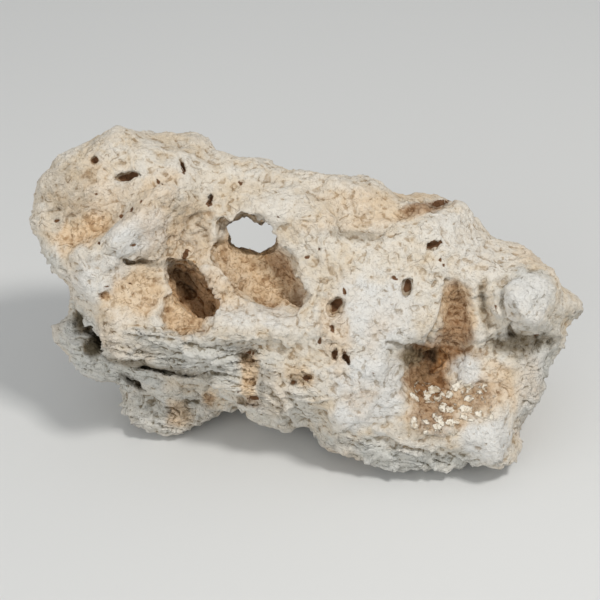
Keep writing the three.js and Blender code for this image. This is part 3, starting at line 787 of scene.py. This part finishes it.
# The next two darken mottle and speckles as dirt, and crevices and cracks as painted shade
DIRT_AND_SHADE = srgb(184, 164, 138)
GREY_DIRT_AND_SHADE = srgb(160, 157, 146)
# How much of each mark shows, from 0 to 1
# Of these, the crest mark is a painted highlight, the near-black mark and the strokes are painted
# shade, and the pits are a stain with painted shade.
CREST_SHARE = 0.25
MOTTLE_SHARE = 0.42
PAINTED_SHADE_SHARE = 0.9
SPECKLE_SHARE = 0.35
STROKE_SHARE = 0.5
PIT_SHARE = 0.98
LAMINA = 2.3  # thickness of the thinnest layers that show, in millimetres
BUMP = 1.7  # how high the finest relief stands, in millimetres
SPECULAR = 0.25


class Nodes:
    """A short way to write a node tree."""

    def __init__(self, material):
        self.tree = material.node_tree
        self.tree.nodes.clear()
        self.position = self.make("ShaderNodeTexCoord").outputs["Object"]

    def make(self, kind, **settings):
        """A new node."""
        node = self.tree.nodes.new(kind)
        for key, value in settings.items():
            setattr(node, key, value)
        return node

    def join(self, source, socket):
        """Feeds a number, a colour or the output of a node into a socket."""
        if isinstance(source, (int, float, list)):
            socket.default_value = source
        else:
            self.tree.links.new(source, socket)

    def math(self, operation, a, b=0.0, clamp=False):
        """An operation on one value or two."""
        node = self.make("ShaderNodeMath", operation=operation, use_clamp=clamp)
        self.join(a, node.inputs[0])
        self.join(b, node.inputs[1])
        return node.outputs[0]

    def times(self, a, b):
        return self.math("MULTIPLY", a, b)

    def larger(self, a, b):
        return self.math("MAXIMUM", a, b)

    def add(self, *terms):
        """The sum of (value, weight) pairs."""
        total = 0.0
        for value, weight in terms:
            total = self.math("ADD", total, self.times(value, weight))
        return total

    def mix(self, factor, a, b, blend="MIX"):
        """Colour a where the factor is 0, and where it is 1 colour b, or the blend of the two."""
        node = self.make("ShaderNodeMix", data_type="RGBA", blend_type=blend)
        # The node's colour sockets have numbers, because their names stand for other sockets too.
        self.join(factor, node.inputs["Factor"])
        self.join(a, node.inputs[6])
        self.join(b, node.inputs[7])
        return node.outputs[2]

    def tint(self, factor, colour, shade):
        """The colour, darkened by the shade where the factor is 1."""
        return self.mix(factor, colour, shade, "MULTIPLY")

    def range(self, value, low, high, to_low=0.0, to_high=1.0):
        """to_low at low, to_high at high, and smooth between."""
        node = self.make("ShaderNodeMapRange", interpolation_type="SMOOTHSTEP")
        for socket, part in zip(node.inputs, (value, low, high, to_low, to_high)):
            self.join(part, socket)
        return node.outputs[0]

    def noise(self, size_mm, detail=3.0, roughness=0.55, distortion=0.0):
        """Noise of about 0 to 1, with lumps about size_mm across."""
        node = self.make("ShaderNodeTexNoise")
        self.join(self.position, node.inputs["Vector"])
        node.inputs["Scale"].default_value = 1 / (size_mm * MM)
        node.inputs["Detail"].default_value = detail
        node.inputs["Roughness"].default_value = roughness
        node.inputs["Distortion"].default_value = distortion
        return node.outputs["Fac"]

    def warped(self, size_mm, amount_mm):
        """The position, pushed about by noise, so that cells get wandering edges."""
        node = self.make("ShaderNodeTexNoise")
        self.join(self.position, node.inputs["Vector"])
        node.inputs["Scale"].default_value = 1 / (size_mm * MM)
        node.inputs["Detail"].default_value = 2.0
        shift = self.make("ShaderNodeVectorMath", operation="MULTIPLY_ADD")
        self.join(node.outputs["Color"], shift.inputs[0])
        shift.inputs[1].default_value = (amount_mm * MM,) * 3
        self.join(self.position, shift.inputs[2])
        return shift.outputs[0]

    def cells(self, size_mm, vector):
        """Scattered points and the cells round them."""
        node = self.make("ShaderNodeTexVoronoi", feature="F1")
        self.join(vector, node.inputs["Vector"])
        node.inputs["Scale"].default_value = 1 / (size_mm * MM)
        return node

    def flakes(self, size_mm):
        """Flat flakes: a random height in each cell of a warped pattern."""
        cells = self.cells(size_mm, self.warped(size_mm * 1.3, size_mm * 1.6))
        split = self.make("ShaderNodeSeparateColor")
        self.join(cells.outputs["Color"], split.inputs[0])
        return split.outputs[0]

    def along(self, direction):
        """How far along a direction a point is, in millimetres."""
        node = self.make("ShaderNodeVectorMath", operation="DOT_PRODUCT")
        self.join(self.position, node.inputs[0])
        node.inputs[1].default_value = [part / MM for part in direction]
        return node.outputs["Value"]

    def strokes(self, size_mm, width, low):
        """Short wavy lines, from 0 to 1: where noise crosses its middle, for a stretch."""
        wave = self.noise(size_mm, detail=1.5, roughness=0.5, distortion=0.5)
        off = self.math("ABSOLUTE", self.math("SUBTRACT", wave, 0.5))
        line = self.range(off, width, width * 0.3)
        stretch = self.range(self.noise(size_mm * 0.8, detail=2), low, low + 0.07)
        return self.times(line, stretch)

    def channels(self, name):
        """The three numbers that an attribute of the mesh holds."""
        source = self.make("ShaderNodeAttribute", attribute_name=name)
        split = self.make("ShaderNodeSeparateColor")
        self.join(source.outputs["Color"], split.inputs[0])
        return split.outputs

    def ragged(self, mask, texture, amount):
        """A mask whose edge is broken up by a texture of about 0 to 1."""
        wave = self.times(self.math("SUBTRACT", texture, 0.5), amount)
        near = self.range(mask, 0.0, 0.25)
        return self.math("ADD", mask, self.times(wave, near), clamp=True)


def limestone_masks(n):
    """What stain() wrote, by name."""
    mask = SimpleNamespace()
    mask.tan, mask.brown, mask.olive = n.channels("stain")
    mask.white, mask.grey, mask.grain = n.channels("tone")
    mask.crevice, mask.crest, mask.deep = n.channels("relief")
    mask.pits, mask.ledgy, mask.grime = n.channels("form")
    return mask


def limestone_marks(n, mask):
    """The textures and marks that both the colour and the bump use."""
    mark = SimpleNamespace()
    mark.medium = n.noise(5, detail=4, roughness=0.65, distortion=0.6)
    mark.granular = n.noise(2.6, detail=3, roughness=0.6, distortion=0.4)
    mark.fine = n.noise(1.5, detail=4, roughness=0.65)
    patchy = n.range(n.noise(19, detail=3), 0.44, 0.58)
    mark.strokes = n.times(n.strokes(8, width=0.026, low=0.54), patchy)
    mark.wiggles = n.strokes(3.4, width=0.05, low=0.46)
    # Pale grains lie in the brown hollow.
    speck = n.cells(4.4, n.warped(2.2, 3.0)).outputs["Distance"]
    mark.pale = n.times(n.range(speck, 0.52, 0.45), n.range(mask.grain, 0.2, 0.5))
    mark.pale = n.times(mark.pale, n.range(n.noise(7, detail=2), 0.38, 0.44))
    return mark


def limestone_colour(n, mask, mark):
    """Cream that drifts to warm, then white and grey zones, the stains, dirt, and painted shade and
    highlight over them.
    """
    drift = n.range(n.noise(15, detail=4, roughness=0.6), 0.38, 0.66)
    colour = n.mix(drift, CREAM, WARM)
    colour = n.mix(n.ragged(mask.grey, mark.medium, 0.8), colour, GREY_COLOUR)
    colour = n.mix(n.ragged(mask.white, mark.medium, 0.8), colour, WHITE_COLOUR)
    # Crests are lightened: a painted highlight.
    colour = n.mix(n.times(n.range(mask.crest, 0.5, 0.95), CREST_SHARE), colour, WHITE_COLOUR)
    # The stains are drawn brighter deep inside, where little light comes.
    inside = n.range(mask.deep, 0.1, 0.6)
    tan = n.mix(inside, TAN_COLOUR, DEEP_TAN)
    brown = n.mix(inside, BROWN_COLOUR, DEEP_BROWN)
    colour = n.mix(n.ragged(mask.tan, mark.medium, 0.7), colour, tan)
    colour = n.mix(n.ragged(mask.brown, mark.granular, 0.9), colour, brown)
    # The olive is partly painted shade.
    colour = n.mix(n.ragged(mask.olive, mark.granular, 1.0), colour, OLIVE_AND_SHADE_COLOUR)
    stained = n.larger(mask.tan, mask.brown)
    mottle = n.times(n.range(mark.medium, 0.47, 0.6), stained)
    colour = n.tint(n.times(mottle, MOTTLE_SHARE), colour, DIRT_AND_SHADE)
    colour = n.mix(mark.pale, colour, GRAIN_COLOUR)
    # Dirt lies in speckles; the crevices, the short cracks and the pits are darkened as painted shade.
    dirt_and_shade = n.mix(mask.grey, DIRT_AND_SHADE, GREY_DIRT_AND_SHADE)
    # The crevices are darkened as painted shade.
    crease_shade = n.times(n.range(mask.crevice, 0.62, 0.95), n.range(mark.granular, 0.35, 0.55, 0.35, 1.0))
    crease_shade = n.times(crease_shade, n.range(n.larger(mask.ledgy, mask.deep), 0.0, 0.6, 0.68, 1.0))
    colour = n.tint(crease_shade, colour, dirt_and_shade)
    # The gaps, grooves and undercuts are drawn near black: painted shade
    painted_shade_amount = n.times(n.ragged(mask.grime, mark.granular, 0.8), PAINTED_SHADE_SHARE)
    colour = n.mix(painted_shade_amount, colour, PAINTED_SHADE_COLOUR)
    colour = n.tint(n.times(n.range(mark.fine, 0.43, 0.33), SPECKLE_SHARE), colour, dirt_and_shade)
    # The short cracks are darkened as painted shade.
    colour = n.tint(n.times(mark.strokes, STROKE_SHARE), colour, dirt_and_shade)
    # Short wavy lines in the stained and ledgy parts, darkened as painted shade.
    busy = n.larger(stained, n.times(mask.ledgy, 0.3))
    colour = n.tint(n.times(mark.wiggles, n.range(busy, 0.1, 0.7, 0.05, 0.5)), colour, dirt_and_shade)
    # The pits are painted dark brown: a stain, with painted shade.
    return n.mix(n.range(mask.pits, 0.15, 0.42, 0.0, PIT_SHARE), colour, PIT_COLOUR)


def laminae(n, mark):
    """The thinnest layers of the bedding, from 0 to 1: each rises at once and thins upwards."""
    level = n.add((n.along(BEDDING), 1.0), (n.noise(11, detail=2), 12.0), (mark.medium, 3.0))
    within = n.math("FRACT", n.math("DIVIDE", level, LAMINA))
    lip = n.times(n.math("SUBTRACT", 1.0, within), n.range(within, 0.0, 0.18))
    return n.times(lip, n.range(n.noise(8, detail=2), 0.42, 0.6))


def limestone_height(n, mask, mark):
    """The relief that is too fine for the mesh, from chalky grain to flakes and thin layers."""
    return n.add(
        (mark.medium, 0.9), (mark.granular, 0.35), (mark.fine, 0.4), (n.flakes(1.7), 0.12),
        (mark.strokes, -0.2), (mark.wiggles, -0.15),
        (n.times(laminae(n, mark), mask.ledgy), 0.7), (mark.pale, 0.6),
    )


def limestone():
    """Chalky stone, stained and worn as stain() says."""
    material = bpy.data.materials.new("limestone")
    material.use_nodes = True
    n = Nodes(material)
    mask = limestone_masks(n)
    mark = limestone_marks(n, mask)
    bump = n.make("ShaderNodeBump")
    n.join(limestone_height(n, mask, mark), bump.inputs["Height"])
    bump.inputs["Strength"].default_value = 1.0
    bump.inputs["Distance"].default_value = BUMP * MM

    shader = n.make("ShaderNodeBsdfPrincipled")
    n.join(limestone_colour(n, mask, mark), shader.inputs["Base Color"])
    n.join(n.range(mark.fine, 0.2, 0.8, 0.86, 0.98), shader.inputs["Roughness"])
    shader.inputs["Specular IOR Level"].default_value = SPECULAR
    n.join(bump.outputs["Normal"], shader.inputs["Normal"])
    result = n.make("ShaderNodeOutputMaterial")
    n.join(shader.outputs[0], result.inputs["Surface"])
    return material


# ---------------------------------------------------------------- build

def triangles(mesh):
    """How many triangles a mesh is drawn with."""
    return sum(len(p.vertices) - 2 for p in mesh.polygons)


def build_rock():
    """The weathered and stained surface, which replaces the solid's node."""
    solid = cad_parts["rock"].data
    openness_at = openness_of(solid)
    mesh = with_modifier(solid.copy(), "REMESH", mode="VOXEL", voxel_size=GRID * MM)
    mesh = narrowed(mesh)
    weather(mesh, openness_at)
    mesh = with_modifier(mesh, "DECIMATE", ratio=min(1.0, FACES / triangles(mesh)))
    # The surface stays inside the box of the CAD solid.
    low, high = np.array(cad_low) / MM, np.array(cad_high) / MM
    place(mesh, np.clip(coordinates(mesh), low + BOX_MARGIN, high - BOX_MARGIN))
    stain(mesh, openness_at)
    mesh.name = "weathered_rock"
    mesh.materials.clear()
    mesh.materials.append(limestone())
    mesh.polygons.foreach_set("use_smooth", np.ones(len(mesh.polygons), dtype=bool))
    piece = bpy.data.objects.new("weathered_rock", mesh)
    bpy.context.scene.collection.objects.link(piece)
    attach(piece, "root")
    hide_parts("rock")


build_rock()


# ---------------------------------------------------------------- stage, light and camera

# Places and sizes on the stage are in metres.
FLOOR_HALF = 3.0
FLOOR_COLOUR = srgb(214, 214, 212)
FLOOR_ROUGHNESS = 0.9
SKY_COLOUR = (0.96, 0.98, 1.0, 1)
SKY_STRENGTH = 0.5
LAMP_TARGET = Vector((0.0, 0.0, 0.07))
CAMERA_TARGET = Vector((-0.0045, 0.0, 0.074))
CAMERA_DISTANCE = 0.9
VIEW_WIDTH = 0.303  # how much of the scene the camera sees, at the target
SENSOR_WIDTH = 36  # in millimetres


def build_floor():
    """A wide pale floor, which is no part of the object."""
    material = bpy.data.materials.new("floor")
    material.use_nodes = True
    shader = material.node_tree.nodes["Principled BSDF"]
    shader.inputs["Base Color"].default_value = FLOOR_COLOUR
    shader.inputs["Roughness"].default_value = FLOOR_ROUGHNESS
    mesh = bpy.data.meshes.new("floor")
    corners = [(x * FLOOR_HALF, y * FLOOR_HALF, 0) for x, y in ((-1, -1), (1, -1), (1, 1), (-1, 1))]
    mesh.from_pydata(corners, [], [(0, 1, 2, 3)])
    mesh.materials.append(material)
    floor = bpy.data.objects.new("floor", mesh)
    bpy.context.scene.collection.objects.link(floor)


def area_light(name, at, size, power, colour):
    """A square lamp that points at the rock."""
    light = bpy.data.lights.new(name, "AREA")
    light.size = size
    light.energy = power
    light.color = colour
    holder = bpy.data.objects.new(name, light)
    holder.location = at
    holder.rotation_euler = (LAMP_TARGET - Vector(at)).to_track_quat("-Z", "Y").to_euler()
    bpy.context.scene.collection.objects.link(holder)


def build_sky():
    """Soft light from all sides."""
    world = bpy.data.worlds.new("studio")
    world.use_nodes = True
    background = world.node_tree.nodes["Background"]
    background.inputs["Color"].default_value = SKY_COLOUR
    background.inputs["Strength"].default_value = SKY_STRENGTH
    bpy.context.scene.world = world


def build_camera():
    """A camera that looks square at the broad face."""
    back = Vector((0, -math.cos(LEAN), math.sin(LEAN)))
    camera = bpy.data.cameras.new("camera")
    camera.sensor_width = SENSOR_WIDTH
    camera.lens = camera.sensor_width * CAMERA_DISTANCE / VIEW_WIDTH
    holder = bpy.data.objects.new("camera", camera)
    holder.location = CAMERA_TARGET + back * CAMERA_DISTANCE
    holder.rotation_euler = (-back).to_track_quat("-Z", "Y").to_euler()
    bpy.context.scene.collection.objects.link(holder)
    bpy.context.scene.camera = holder


build_floor()
area_light("key", at=(0.5, -0.46, 1.24), size=0.22, power=10.0, colour=(1.0, 0.985, 0.96))
area_light("fill", at=(-1.1, -1.3, 0.55), size=1.6, power=13, colour=(0.97, 0.985, 1.0))
build_sky()
build_camera()
bpy.context.scene.view_settings.view_transform = "Standard"
